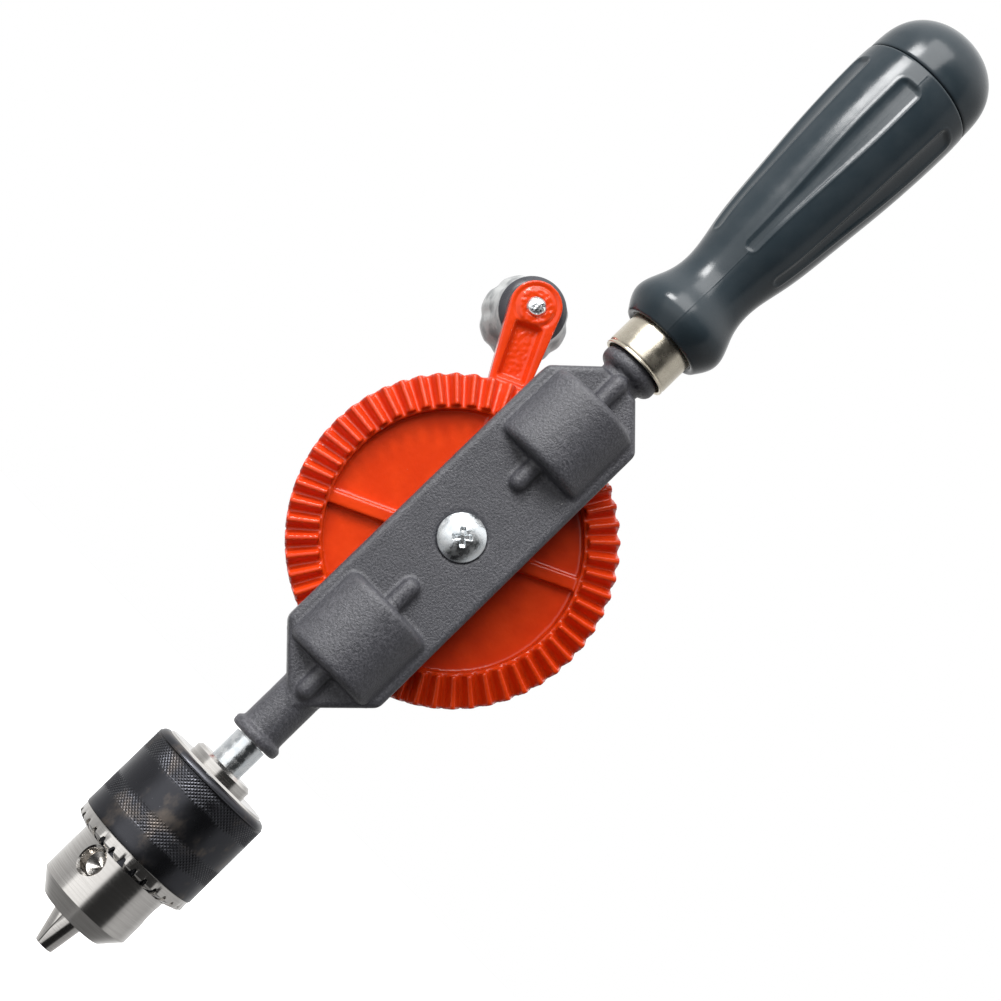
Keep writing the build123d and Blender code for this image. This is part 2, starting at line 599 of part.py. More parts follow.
with BuildPart() as split_nut:
    # two halves of a ring with a coned bore that the backs of the jaws run in
    slope = math.tan(math.radians(JAW_TILT))
    with BuildSketch(Plane.XZ):
        Polygon(
            (JAW_TIP_R + slope * NUT[0] + 0.15, NUT[0]), (NUT_R, NUT[0]), (NUT_R, NUT[1]),
            (JAW_TIP_R + slope * NUT[1] + 0.15, NUT[1]),
            align=None,
        )
    revolve(axis=Axis.Z)
    with Locations((0, 0, NUT[0])):
        Box(3 * NUT_R, 0.3, NUT[1] - NUT[0], align=UP, mode=Mode.SUBTRACT)
split_nut.part.label = "split_nut"
export_step(split_nut.part, "parts/split_nut.step")

# the space between two key teeth, wider towards the front
with BuildPart() as key_space:
    with BuildSketch(Plane.YZ.offset(BODY_R - 1)):
        with BuildLine():
            Polyline((-0.5, KEY_ROOT_Z), (-1.35, SLEEVE[0] - 0.6), (1.35, SLEEVE[0] - 0.6), (0.5, KEY_ROOT_Z))
            ThreePointArc((-0.5, KEY_ROOT_Z), (0, KEY_ROOT_Z + 0.45), (0.5, KEY_ROOT_Z))
        make_face()
    extrude(amount=SLEEVE_R - BODY_R + 2)

with BuildPart() as chuck_sleeve:
    with BuildSketch(Plane.XZ):
        Polygon(
            (BODY_R + RUNNING, SLEEVE[0]), (KEY_RING_R - 0.5, SLEEVE[0] + 1.3), (KEY_RING_R, SLEEVE[0] + 1.8),
            (KEY_RING_R, KEY_RING_TOP), (SLEEVE_R, KEY_RING_TOP + 0.25), (SLEEVE_R, SLEEVE[1] - 1.9),
            (SLEEVE_R - 0.55, SLEEVE[1] - 0.55), (SLEEVE_R - 1.8, SLEEVE[1]), (BODY_REAR_R + RUNNING, SLEEVE[1]),
            (BODY_REAR_R + RUNNING, NUT[1] + 0.1), (NUT_R + 0.02, NUT[1] + 0.1), (NUT_R + 0.02, NUT[0] - 0.1),
            (BODY_R + RUNNING, NUT[0] - 0.1),
            align=None,
        )
    revolve(axis=Axis.Z)
    with PolarLocations(0, KEY_TEETH):
        add(key_space.part, mode=Mode.SUBTRACT)
chuck_sleeve.part.label = "chuck_sleeve"
export_step(chuck_sleeve.part, "parts/chuck_sleeve.step")

# ---------------------------------------------------------------- handle
with BuildPart() as handle_rod:
    with Locations((0, 0, ROD_Z[0])):
        Cylinder(ROD_R, ROD_Z[1] - ROD_Z[0], align=UP)
    chamfer(handle_rod.edges().filter_by(GeomType.CIRCLE), 0.5)
handle_rod.part.label = "handle_rod"
export_step(handle_rod.part, "parts/handle_rod.step")

with BuildPart() as ferrule:
    ring(FERRULE_R, SPIGOT_R + 0.02, *FERRULE)
    chamfer(ferrule.faces().filter_by(GeomType.CYLINDER).sort_by(SortBy.AREA)[-1].edges(), 0.35)
ferrule.part.label = "ferrule"
export_step(ferrule.part, "parts/ferrule.step")

with BuildPart() as flute:
    # round-bottomed cutter with round ends that follows the swell of the handle on its +X side
    with BuildLine(Plane.XZ) as path:
        ThreePointArc(*[(x + FLUTE_R, z) for x, z in FLUTE_BOTTOM])
    with BuildSketch(Plane(origin=path.line @ 0, x_dir=(0, 1, 0), z_dir=path.line % 0)):
        Circle(FLUTE_R)
    sweep(path=path.line)
    with Locations(path.line @ 0, path.line @ 1):
        Sphere(FLUTE_R)

with BuildPart() as handle:
    with BuildSketch(Plane.XZ):
        with BuildLine():
            swell = Spline(HANDLE_SIDE)
            end = ThreePointArc(swell @ 1, *HANDLE_END)
            Polyline(
                end @ 1, (0, HANDLE_TOP), (0, HANDLE_BOTTOM), (SPIGOT_R, HANDLE_BOTTOM),
                (SPIGOT_R, FERRULE[1] + 0.1), (FERRULE_R + 0.25, FERRULE[1] + 0.1), (FERRULE_R + 0.25, RIM_Z),
                swell @ 0,
            )
        make_face()
    revolve(axis=Axis.Z)
    with PolarLocations(0, FLUTES, start_angle=FLUTE_ANGLE):
        add(flute.part, mode=Mode.SUBTRACT)
    # tight hole for the rod, room for bits, and the mouth that the cap screws into
    with Locations((0, 0, HANDLE_BOTTOM)):
        Cylinder(ROD_R + 0.02, ROD_Z[1] - HANDLE_BOTTOM + 0.1, align=UP, mode=Mode.SUBTRACT)
    with Locations((0, 0, STORE_Z[0])):
        Cylinder(STORE_R, STORE_Z[1] - STORE_Z[0], align=UP, mode=Mode.SUBTRACT)
    with Locations((0, 0, STORE_Z[1])):
        Cylinder(MOUTH_R, HANDLE_TOP - STORE_Z[1], align=UP, mode=Mode.SUBTRACT)
handle.part.label = "handle"
export_step(handle.part, "parts/handle.step")

with BuildPart() as handle_cap:
    with BuildSketch(Plane.XZ):
        with BuildLine():
            dome = Spline(CAP_SIDE, tangents=((0, 1), (-1, 0)))
            Polyline(
                dome @ 1, (0, CAP_TOP - 3), (MOUTH_R - 3, CAP_TOP - 8), (MOUTH_R - 3, STORE_Z[1] + 0.5),
                (MOUTH_R - 0.1, STORE_Z[1] + 0.5), (MOUTH_R - 0.1, CAP_BOTTOM), dome @ 0,
            )
        make_face()
    revolve(axis=Axis.Z)
handle_cap.part.label = "handle_cap"
export_step(handle_cap.part, "parts/handle_cap.step")
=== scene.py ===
"""The looks of a hand drill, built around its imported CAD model.

Lengths are metres in the model's own frame: +Z runs up the spindle from the closed jaws to the
handle, the flat of the frame faces -Y, and the wheel, crank and knob are on the +Y side.
"""
import json
import math

import bmesh
import bpy
import numpy as np
from mathutils import Matrix, Vector
from mathutils.noise import noise as perlin

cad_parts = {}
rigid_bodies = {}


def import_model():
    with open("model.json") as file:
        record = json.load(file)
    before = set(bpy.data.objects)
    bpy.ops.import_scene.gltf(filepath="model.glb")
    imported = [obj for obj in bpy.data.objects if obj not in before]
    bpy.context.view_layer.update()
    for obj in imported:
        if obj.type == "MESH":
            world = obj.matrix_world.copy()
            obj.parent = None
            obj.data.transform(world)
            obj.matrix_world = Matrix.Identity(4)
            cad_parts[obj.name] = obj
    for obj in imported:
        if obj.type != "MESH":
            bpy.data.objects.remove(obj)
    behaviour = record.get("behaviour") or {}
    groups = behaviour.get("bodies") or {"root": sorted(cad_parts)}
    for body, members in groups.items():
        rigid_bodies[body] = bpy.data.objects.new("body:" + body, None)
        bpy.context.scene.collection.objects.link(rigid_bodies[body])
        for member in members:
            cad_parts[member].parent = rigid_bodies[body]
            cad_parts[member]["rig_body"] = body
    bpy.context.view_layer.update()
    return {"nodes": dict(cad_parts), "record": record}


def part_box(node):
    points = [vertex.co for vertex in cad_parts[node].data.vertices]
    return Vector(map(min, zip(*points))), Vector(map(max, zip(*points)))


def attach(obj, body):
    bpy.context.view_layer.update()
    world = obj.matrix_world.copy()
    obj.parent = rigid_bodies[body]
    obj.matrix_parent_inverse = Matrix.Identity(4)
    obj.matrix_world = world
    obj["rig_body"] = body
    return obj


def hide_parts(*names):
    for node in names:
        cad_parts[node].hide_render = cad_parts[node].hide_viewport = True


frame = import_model()
nodes = frame["nodes"]

MM = 0.001
WHEEL_Z = sum(corner.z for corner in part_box("axle_screw")) / 2   # height of the wheel's axle
CRANK_R = 63.4                          # of the knob's axis, in millimetres from the axle
CRANK_DIR = (-math.sin(math.radians(26)), 0, math.cos(math.radians(26)))
KNOB_X = CRANK_R * CRANK_DIR[0]         # of the knob's axis, in millimetres
KNOB_Z = WHEEL_Z / MM + CRANK_R * CRANK_DIR[2]
TAU = 2 * math.pi


# ---------------------------------------------------------------- shader helpers
class Shader:
    """A Principled material, with short calls that add its texture nodes."""

    def __init__(self, name, color, metallic=0.0, roughness=0.5, **sockets):
        self.material = bpy.data.materials.new(name)
        self.material.use_nodes = True
        self.tree = self.material.node_tree
        self.bsdf = self.tree.nodes["Principled BSDF"]
        self.set("Base Color", (*color, 1))
        self.set("Metallic", metallic)
        self.set("Roughness", roughness)
        for socket, value in sockets.items():
            self.set(socket.replace("_", " "), value)
        self.position = self.tree.nodes.new("ShaderNodeTexCoord").outputs["Object"]

    def set(self, socket, value):
        self.bsdf.inputs[socket].default_value = value

    def link(self, source, socket):
        self.tree.links.new(source, self.bsdf.inputs[socket])

    def node(self, kind, inputs=None, **settings):
        made = self.tree.nodes.new(kind)
        for key, value in settings.items():
            setattr(made, key, value)
        for key, value in (inputs or {}).items():
            if isinstance(value, bpy.types.NodeSocket):
                self.tree.links.new(value, made.inputs[key])
            else:
                made.inputs[key].default_value = value
        return made

    def noise(self, size, detail=3.0, rough=0.5, stretch=(1, 1, 1)):
        """Noise from 0 to 1 whose grains are about `size` metres across."""
        mapped = self.node(
            "ShaderNodeMapping", {"Vector": self.position, "Scale": stretch},
        ).outputs[0]
        made = self.node(
            "ShaderNodeTexNoise",
            {"Vector": mapped, "Scale": 1 / size, "Detail": detail, "Roughness": rough},
        )
        return made.outputs["Fac"]

    def ramp(self, value, low, high, out_low=0.0, out_high=1.0):
        """Maps low..high of a value to out_low..out_high, smoothly."""
        inputs = {
            "Value": value, "From Min": low, "From Max": high, "To Min": out_low, "To Max": out_high,
        }
        made = self.node("ShaderNodeMapRange", inputs, interpolation_type="SMOOTHSTEP")
        return made.outputs["Result"]

    def mix(self, factor, a, b):
        """A colour between a and b."""
        made = self.node("ShaderNodeMix", data_type="RGBA")
        for key, value in ((0, factor), (6, a), (7, b)):
            if isinstance(value, bpy.types.NodeSocket):
                self.tree.links.new(value, made.inputs[key])
            else:
                made.inputs[key].default_value = value if key == 0 else (*value, 1)
        return made.outputs[2]

    def bump(self, height, distance, strength):
        inputs = {"Height": height, "Distance": distance, "Strength": strength}
        self.link(self.node("ShaderNodeBump", inputs).outputs["Normal"], "Normal")


# ---------------------------------------------------------------- materials
def casting_paint():
    s = Shader("casting_paint", (0.08, 0.08, 0.09), roughness=0.4, Specular_IOR_Level=0.65)
    grain = s.noise(0.6 * MM, detail=4, rough=0.65)
    patches = s.noise(11 * MM, detail=3)
    paint = s.mix(s.ramp(patches, 0.35, 0.7), (0.074, 0.074, 0.085), (0.099, 0.098, 0.111))
    chips = s.ramp(s.noise(2.6 * MM, detail=4, rough=0.7), 0.735, 0.76)
    speckled = s.mix(s.ramp(grain, 0.40, 0.62), (0.046, 0.046, 0.054), paint)
    s.link(s.mix(chips, speckled, (0.30, 0.29, 0.28)), "Base Color")
    s.link(s.ramp(grain, 0.3, 0.7, 0.32, 0.48), "Roughness")
    s.bump(grain, 0.24 * MM, 1.0)
    return s.material


def red_enamel():
    s = Shader(
        "red_enamel", (0.75, 0.045, 0.004), roughness=0.35,
        Specular_IOR_Level=0.1, Coat_Weight=0.6, Coat_Roughness=0.07,
    )
    patches = s.noise(7 * MM, detail=3)
    enamel = s.mix(s.ramp(patches, 0.3, 0.75), (0.66, 0.039, 0.003), (0.76, 0.052, 0.005))
    chips = s.ramp(s.noise(2.2 * MM, detail=3, rough=0.6), 0.755, 0.775)
    s.link(s.mix(chips, enamel, (0.42, 0.36, 0.30)), "Base Color")
    orange_peel = s.noise(1.3 * MM, detail=3)
    s.bump(orange_peel, 0.14 * MM, 0.55)
    return s.material


def zinc_plate():
    s = Shader("zinc_plate", (0.74, 0.77, 0.79), metallic=1.0, roughness=0.20)
    cloud = s.noise(1.6 * MM, detail=4)
    s.link(s.mix(s.ramp(cloud, 0.3, 0.7), (0.70, 0.74, 0.77), (0.88, 0.90, 0.91)), "Base Color")
    s.link(s.ramp(cloud, 0.3, 0.7, 0.16, 0.38), "Roughness")
    s.bump(s.noise(0.6 * MM, detail=3), 0.05 * MM, 0.7)
    return s.material


def nickel_plate():
    s = Shader("nickel_plate", (0.68, 0.62, 0.51), metallic=1.0, roughness=0.20)
    grain = s.noise(0.35 * MM, detail=3)
    s.link(s.mix(s.ramp(grain, 0.3, 0.7), (0.66, 0.60, 0.49), (0.76, 0.70, 0.58)), "Base Color")
    s.link(s.ramp(s.noise(3 * MM, detail=3), 0.3, 0.7, 0.22, 0.32), "Roughness")
    s.bump(grain, 0.008 * MM, 0.5)
    return s.material


def ground_steel():
    s = Shader("ground_steel", (0.64, 0.62, 0.595), metallic=1.0, roughness=0.16)
    rings = s.noise(0.14 * MM, detail=2, stretch=(0.012, 0.012, 1))
    s.link(s.mix(s.ramp(rings, 0.3, 0.7), (0.585, 0.565, 0.54), (0.69, 0.67, 0.645)), "Base Color")
    s.link(s.ramp(rings, 0.3, 0.7, 0.12, 0.20), "Roughness")
    s.bump(rings, 0.010 * MM, 0.5)
    return s.material


def black_oxide():
    s = Shader("black_oxide", (0.060, 0.060, 0.066), metallic=0.95, roughness=0.30)
    wear = s.noise(7 * MM, detail=6, rough=0.6, stretch=(1, 1, 0.7))
    worn = s.mix(s.ramp(wear, 0.52, 0.72), (0.055, 0.056, 0.063), (0.140, 0.120, 0.106))
    pits = s.ramp(s.noise(0.9 * MM, detail=3), 0.70, 0.78)
    s.link(s.mix(pits, worn, (0.16, 0.16, 0.17)), "Base Color")
    s.link(s.ramp(wear, 0.3, 0.7, 0.24, 0.40), "Roughness")
    s.bump(s.noise(1.2 * MM, detail=4), 0.03 * MM, 0.5)
    return s.material


def hidden_steel():
    s = Shader("hidden_steel", (0.42, 0.42, 0.43), metallic=1.0, roughness=0.4)
    s.link(s.ramp(s.noise(1.5 * MM, detail=4), 0.3, 0.7, 0.32, 0.5), "Roughness")
    return s.material


def sintered_bronze():
    s = Shader("sintered_bronze", (0.50, 0.31, 0.14), metallic=1.0, roughness=0.45)
    s.bump(s.noise(0.4 * MM, detail=3), 0.03 * MM, 0.6)
    return s.material


def handle_plastic():
    s = Shader("handle_plastic", (0.020, 0.030, 0.038), roughness=0.2, Specular_IOR_Level=0.4)
    soft = s.noise(6 * MM, detail=3)
    slate = s.mix(s.ramp(soft, 0.3, 0.7), (0.025, 0.036, 0.044), (0.031, 0.042, 0.050))
    s.link(slate, "Base Color")
    s.link(s.ramp(soft, 0.3, 0.7, 0.17, 0.23), "Roughness")
    s.bump(s.noise(2.5 * MM, detail=3), 0.05 * MM, 0.5)
    return s.material


def knob_plastic():
    s = Shader("knob_plastic", (0.30, 0.31, 0.31), roughness=0.28)
    cloud = s.noise(4.5 * MM, detail=4)
    s.link(s.mix(s.ramp(cloud, 0.38, 0.60), (0.19, 0.20, 0.205), (0.44, 0.45, 0.445)), "Base Color")
    s.bump(s.noise(3 * MM, detail=2), 0.10 * MM, 0.6)
    return s.material


def collar_plastic():
    s = Shader("collar_plastic", (0.045, 0.047, 0.055), roughness=0.32)
    s.link(s.ramp(s.noise(2 * MM, detail=3), 0.3, 0.7, 0.24, 0.38), "Roughness")
    return s.material


MATERIALS = {
    "casting": casting_paint(),
    "enamel": red_enamel(),
    "zinc": zinc_plate(),
    "nickel": nickel_plate(),
    "ground_steel": ground_steel(),
    "black_oxide": black_oxide(),
    "hidden_steel": hidden_steel(),
    "bronze": sintered_bronze(),
    "grip_plastic": handle_plastic(),
    "knob_plastic": knob_plastic(),
    "collar_plastic": collar_plastic(),
}
SLOT_OF = {row["node"]: row["material_slot"] for row in frame["record"]["subparts"]}
BODY_OF = {name: node["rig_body"] for name, node in nodes.items()}
for name, node in nodes.items():
    if not node.material_slots:
        node.data.materials.append(None)
    for held in node.material_slots:
        held.material = MATERIALS[SLOT_OF[name]]


# ---------------------------------------------------------------- mesh helpers
def new_piece(name, mesh, slot, body):
    """A piece of the drill with the material of a slot, before it is baked and ridden."""
    piece = bpy.data.objects.new(name, mesh)
    bpy.context.scene.collection.objects.link(piece)
    mesh.materials.clear()
    mesh.materials.append(MATERIALS[slot])
    piece["rides"] = body
    return piece


def bake(piece):
    """Turns the piece's modifiers into mesh."""
    seen = bpy.context.evaluated_depsgraph_get()
    mesh = bpy.data.meshes.new_from_object(piece.evaluated_get(seen))
    piece.modifiers.clear()
    piece.data = mesh


def copied(node, name, slot=None):
    """A free copy of a CAD node's mesh, welded, to be worked on as a piece."""
    mesh = nodes[node].data.copy()
    if "custom_normal" in mesh.attributes:
        mesh.attributes.remove(mesh.attributes["custom_normal"])
    work = bmesh.new()
    work.from_mesh(mesh)
    bmesh.ops.remove_doubles(work, verts=work.verts, dist=0.002 * MM)
    work.to_mesh(mesh)
    work.free()
    return new_piece(name, mesh, slot or SLOT_OF[node], BODY_OF[node])


def softened(node, name, voxel, passes):
    """A cast copy of a CAD node, its edges rounded by a remesh and a little smoothing."""
    piece = copied(node, name)
    remesh = piece.modifiers.new("remesh", "REMESH")
    remesh.mode, remesh.voxel_size, remesh.use_smooth_shade = "VOXEL", voxel, True
    smooth = piece.modifiers.new("smooth", "SMOOTH")
    smooth.factor, smooth.iterations = 0.5, passes
    bake(piece)
    return piece


def points_of(mesh):
    places = np.empty(3 * len(mesh.vertices))
    mesh.vertices.foreach_get("co", places)
    return places.reshape(-1, 3)


def move_points(mesh, places):
    mesh.vertices.foreach_set("co", np.ascontiguousarray(places).ravel())
    mesh.update()


def in_mm(box):
    """The low and high corners of a box, in millimetres."""
    return [corner / MM for corner in box]


def rough(places, size, seed=0.0):
    """Smooth noise of about -1 to 1 at every place, with grains of this size."""
    shift = Vector((seed, 2 * seed, -seed))
    return np.array([perlin(Vector(place) / size + shift) for place in places])


def rise(value, low, high):
    """0 below low, 1 above high, and smooth between them."""
    t = np.clip((value - low) / (high - low), 0, 1)
    return t * t * (3 - 2 * t)


def curve_through(knots, count):
    """Points along a smooth curve through the knots, which are (radius, height) pairs."""
    knots = np.array(knots, float)
    steps = np.concatenate(([0], np.cumsum(np.linalg.norm(np.diff(knots, axis=0), axis=1))))
    n = len(steps)
    system, right = np.eye(n), np.zeros((n, 2))
    for i in range(1, n - 1):
        before, after = steps[i] - steps[i - 1], steps[i + 1] - steps[i]
        system[i, i - 1:i + 2] = before, 2 * (before + after), after
        right[i] = 6 * ((knots[i + 1] - knots[i]) / after - (knots[i] - knots[i - 1]) / before)
    bend = np.linalg.solve(system, right)
    out = []
    for t in np.linspace(0, steps[-1], count):
        i = min(max(np.searchsorted(steps, t) - 1, 0), n - 2)
        h = steps[i + 1] - steps[i]
        a, b = (steps[i + 1] - t) / h, (t - steps[i]) / h
        lift = ((a ** 3 - a) * bend[i] + (b ** 3 - b) * bend[i + 1]) * h * h / 6
        out.append(tuple(a * knots[i] + b * knots[i + 1] + lift))
    return out


def piece_from(name, rows, faces, smooth, slot, body):
    """A piece from rows of (x, y, z) in millimetres, and faces that index their points in turn."""
    mesh = bpy.data.meshes.new(name)
    mesh.from_pydata([tuple(MM * c for c in place) for row in rows for place in row], [], faces)
    mesh.polygons.foreach_set("use_smooth", smooth)
    mesh.update()
    return new_piece(name, mesh, slot, body)


def grid_piece(name, rows, slot, body, closed_ends=(False, False)):
    """A smooth piece from rows of (x, y, z) in millimetres, each a ring round an axis."""
    columns = len(rows[0])
    faces = []
    for i in range(len(rows) - 1):
        for j in range(columns):
            k = (j + 1) % columns
            here, above = i * columns, (i + 1) * columns
            faces.append((here + j, here + k, above + k, above + j))
    if closed_ends[0]:
        faces.append(tuple(range(columns))[::-1])
    if closed_ends[1]:
        faces.append(tuple(range((len(rows) - 1) * columns, len(rows) * columns)))
    return piece_from(name, rows, faces, [True] * len(faces), slot, body)


def circle_row(radius, height, columns):
    """A row of points round the spindle axis, in millimetres."""
    turns = [TAU * j / columns for j in range(columns)]
    return [(radius * math.cos(turn), radius * math.sin(turn), height) for turn in turns]


def turned(name, profile, slot, body, columns, corner):
    """A turned piece round the spindle axis. The closed profile's corners are rounded by `corner`."""
    rounded = []
    n = len(profile)
    for i, here in enumerate(profile):
        here = np.array(here, float)
        before, after = np.array(profile[i - 1], float), np.array(profile[(i + 1) % n], float)
        to_before, to_after = np.linalg.norm(before - here), np.linalg.norm(after - here)
        cut = min(corner, 0.45 * to_before, 0.45 * to_after)
        if cut < 1e-4:
            rounded.append(tuple(here))
            continue
        start = here + cut * (before - here) / to_before
        end = here + cut * (after - here) / to_after
        for t in (0.0, 0.25, 0.5, 0.75, 1.0):
            rounded.append(tuple((1 - t) ** 2 * start + 2 * t * (1 - t) * here + t * t * end))
    rows = [circle_row(r, z, columns) for r, z in rounded + rounded[:1]]
    return grid_piece(name, rows, slot, body)


def turned_at_knob(name, profile, slot, body, columns=96, lobes=None):
    """A piece turned round the knob's axis, which is along Y. The profile is (radius, y) pairs."""
    rows = []
    for radius, y in profile:
        row = []
        for j in range(columns):
            angle = -TAU * j / columns
            r = radius if lobes is None else lobes(radius, y, angle)
            row.append((KNOB_X + r * math.cos(angle), y, KNOB_Z + r * math.sin(angle)))
        rows.append(row)
    return grid_piece(name, rows, slot, body)


# ---------------------------------------------------------------- pieces
def frame_piece():
    """The frame as a die casting: soft corners, slight unevenness, and a wider round in front."""
    piece = softened("frame", "frame_casting", 0.42 * MM, 5)
    places = points_of(piece.data)
    normals = np.empty(3 * len(places))
    piece.data.vertices.foreach_get("normal", normals)
    normals = normals.reshape(-1, 3)
    outside = np.hypot(places[:, 0], places[:, 1]) > 4.8 * MM      # the bearing bores stay true
    amount = 0.035 * MM * rough(places, 2.6 * MM) * outside
    places += normals * amount[:, None]

    # The plate is a strip whose ends taper at 45 degrees. Along the edge between its sides and its
    # front face, points outside a round of radius `corner` are pulled in onto it.
    half_width, front_y = 15.5 * MM, -6.0 * MM
    tip_z, end_z = 79.1 * MM, 197.8 * MM
    corner, tube_radius = 1.6 * MM, 6.1 * MM
    diagonal = 0.5 ** 0.5
    x, y, z = places.T
    tapers = (z - tip_z - abs(x)) / 2 ** 0.5, (end_z - z - abs(x)) / 2 ** 0.5
    sides = np.stack([half_width - abs(x), *tapers])
    nearest = sides.argmin(axis=0)
    inward_x = np.array((-1, -diagonal, -diagonal))[nearest] * np.sign(x)
    inward_z = np.array((0, diagonal, -diagonal))[nearest]
    from_side, from_front = corner - sides.min(axis=0), corner - (y - front_y)
    reach = np.hypot(from_side, from_front)
    edge = (from_side > 0) & (from_front > 0) & (reach > corner)
    edge &= np.maximum(from_side, from_front) < 1.3 * corner
    edge &= np.hypot(x, y) > tube_radius
    pull = np.where(edge, 1 - corner / reach, 0)
    moves = inward_x * from_side * pull, from_front * pull, inward_z * from_side * pull
    places += np.stack(moves, axis=1)
    move_points(piece.data, places)
    return piece


def wheel_piece():
    """The wheel and crank in one casting: its panel has a rough floor, its rivet a raised pad."""
    piece = softened("gear_wheel", "gear_wheel_casting", 0.34 * MM, 4)
    places = points_of(piece.data)
    from_axle = places - np.array((0, 0, WHEEL_Z))
    along = from_axle @ np.array(CRANK_DIR)
    across = from_axle @ np.array((-CRANK_DIR[2], 0, CRANK_DIR[0]))
    y = places[:, 1]
    panel_y, arm_y = 15.8 * MM, 13.9 * MM    # the floor of the arm's sunk panel, and its front

    panel = rise(along, 43.5 * MM, 44.5 * MM) * rise(-along, -58.5 * MM, -57.5 * MM)
    panel *= rise(-np.abs(across), -3.6 * MM, -2.6 * MM)
    floor = panel * rise(-np.abs(y - panel_y), -0.5 * MM, -0.2 * MM)
    places[:, 1] += 0.13 * MM * floor * rough(places, 0.8 * MM, 3.0)

    # a groove between the arm's outer bead and the raised pad round the rivet
    from_rivet = np.hypot(along - CRANK_R * MM, across)
    front = rise(-np.abs(y - arm_y), -0.5 * MM, -0.2 * MM)
    beyond = rise(along, 57.0 * MM, 60.0 * MM)
    groove = np.exp(-((from_rivet - 5.35 * MM) / (0.42 * MM)) ** 2)
    places[:, 1] += 0.30 * MM * groove * front * beyond
    pad = rise(-from_rivet, -4.9 * MM, -4.2 * MM) * front
    places[:, 1] -= pad * (0.22 * MM + 0.18 * MM * rough(places, 0.9 * MM, 7.0))
    move_points(piece.data, places)
    return piece


def rivet_piece():
    """The peened end of the knob's pin: an uneven bright lump."""
    rings, columns = 24, 64
    foot_y, height = 13.75, 1.05
    rows = []
    for i in range(rings + 1):
        share = i / rings
        row = []
        for j in range(columns):
            angle = -TAU * j / columns
            out = 2.45 + 0.16 * math.sin(2 * angle + 0.6) + 0.08 * math.sin(5 * angle)
            r = max(out * (1 - share), 0.01)
            x, z = KNOB_X + r * math.cos(angle), KNOB_Z + r * math.sin(angle)
            lump = 0.16 * perlin(Vector((x / 0.9, z / 0.9, 1.0)))
            lump += 0.07 * perlin(Vector((x / 0.35, z / 0.35, 4.0)))
            lift = height * math.sqrt(1 - (1 - share) ** 2.6) + lump * min(1, 4 * share)
            row.append((x, foot_y - lift, z))
        rows.append(row)
    return grid_piece("rivet_head", rows, "zinc", "wheel", closed_ends=(False, True))


def screw_piece():
    """The axle screw: a low dome with a cross recess, and its shank."""
    low, high = in_mm(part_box("axle_screw"))
    face, radius, centre_z = low.y, (high.x - low.x) / 2, WHEEL_Z / MM
    shank_radius, head_back = 3, face + 3.2
    rings, columns = 72, 192
    rows = []
    for i in range(rings + 1):
        share = i / rings
        row = []
        for j in range(columns):
            angle = -TAU * j / columns
            r = max(radius * (1 - share), 0.01)
            x, z = r * math.cos(angle), r * math.sin(angle)
            dome = 2.15 * (r / radius) ** 2.3
            a, b = (x * 0.74 + z * 0.67), (z * 0.74 - x * 0.67)     # along the cross's two slots
            arm_a = rise(-abs(b), -0.80, -0.40) * rise(-abs(a), -2.6, -1.7)
            arm_b = rise(-abs(a), -0.80, -0.40) * rise(-abs(b), -2.6, -1.7)
            recess = 0.9 * max(arm_a, arm_b)
            row.append((x, face + dome + recess, centre_z + z))
        rows.append(row)

    def circle(reach, y):
        """A row of points round the screw's axis."""
        angles = [-TAU * j / columns for j in range(columns)]
        return [(reach * math.cos(turn), y, centre_z + reach * math.sin(turn)) for turn in angles]

    back = [
        circle(shank_radius, high.y), circle(shank_radius, head_back),
        circle(radius, head_back), circle(radius, face + 2.6),
    ]
    return grid_piece(
        "axle_screw_head", back + rows, "zinc", BODY_OF["axle_screw"], closed_ends=(True, True),
    )


def knob_piece():
    """The crank's knob: a moulded barrel with eight finger hollows."""
    side = curve_through([(8.8, 21.2), (9.6, 27.0), (11.8, 36.7), (9.9, 44.8)], 40)
    end = [
        (9.3, 46.2), (8.3, 47.3), (7.0, 47.9), (5.6, 48.0), (4.5, 47.9), (4.5, 45.3), (2.46, 45.2),
    ]
    start = [(2.46, 21.15), (8.5, 21.15)]

    def lobes(radius, y, angle):
        if radius < 8.6:                     # the bore and the ends stay round
            return radius
        band = float(rise(y, 24.0, 29.0) * rise(-y, -46.5, -43.0))
        hollow = max(0.0, math.cos(4 * angle + 0.35) ** 2 - 0.25) / 0.75
        return radius - 0.55 * band * hollow ** 2 + 0.06 * math.sin(3 * angle + y / 3)

    return turned_at_knob(
        "knob_barrel", start + side + end, "knob_plastic", BODY_OF["knob"], 160, lobes,
    )


def collar_piece():
    """The washer between the arm and the knob, with a wide bevel in front."""
    profile = [
        (2.5, 21.15), (2.5, 18.92), (7.15, 18.92), (7.35, 19.0), (8.75, 20.05), (8.9, 20.25),
        (8.9, 20.9), (8.8, 21.12), (8.6, 21.15), (2.5, 21.15),
    ]
    return turned_at_knob("collar_washer", profile, "collar_plastic", BODY_OF["knob_collar"])


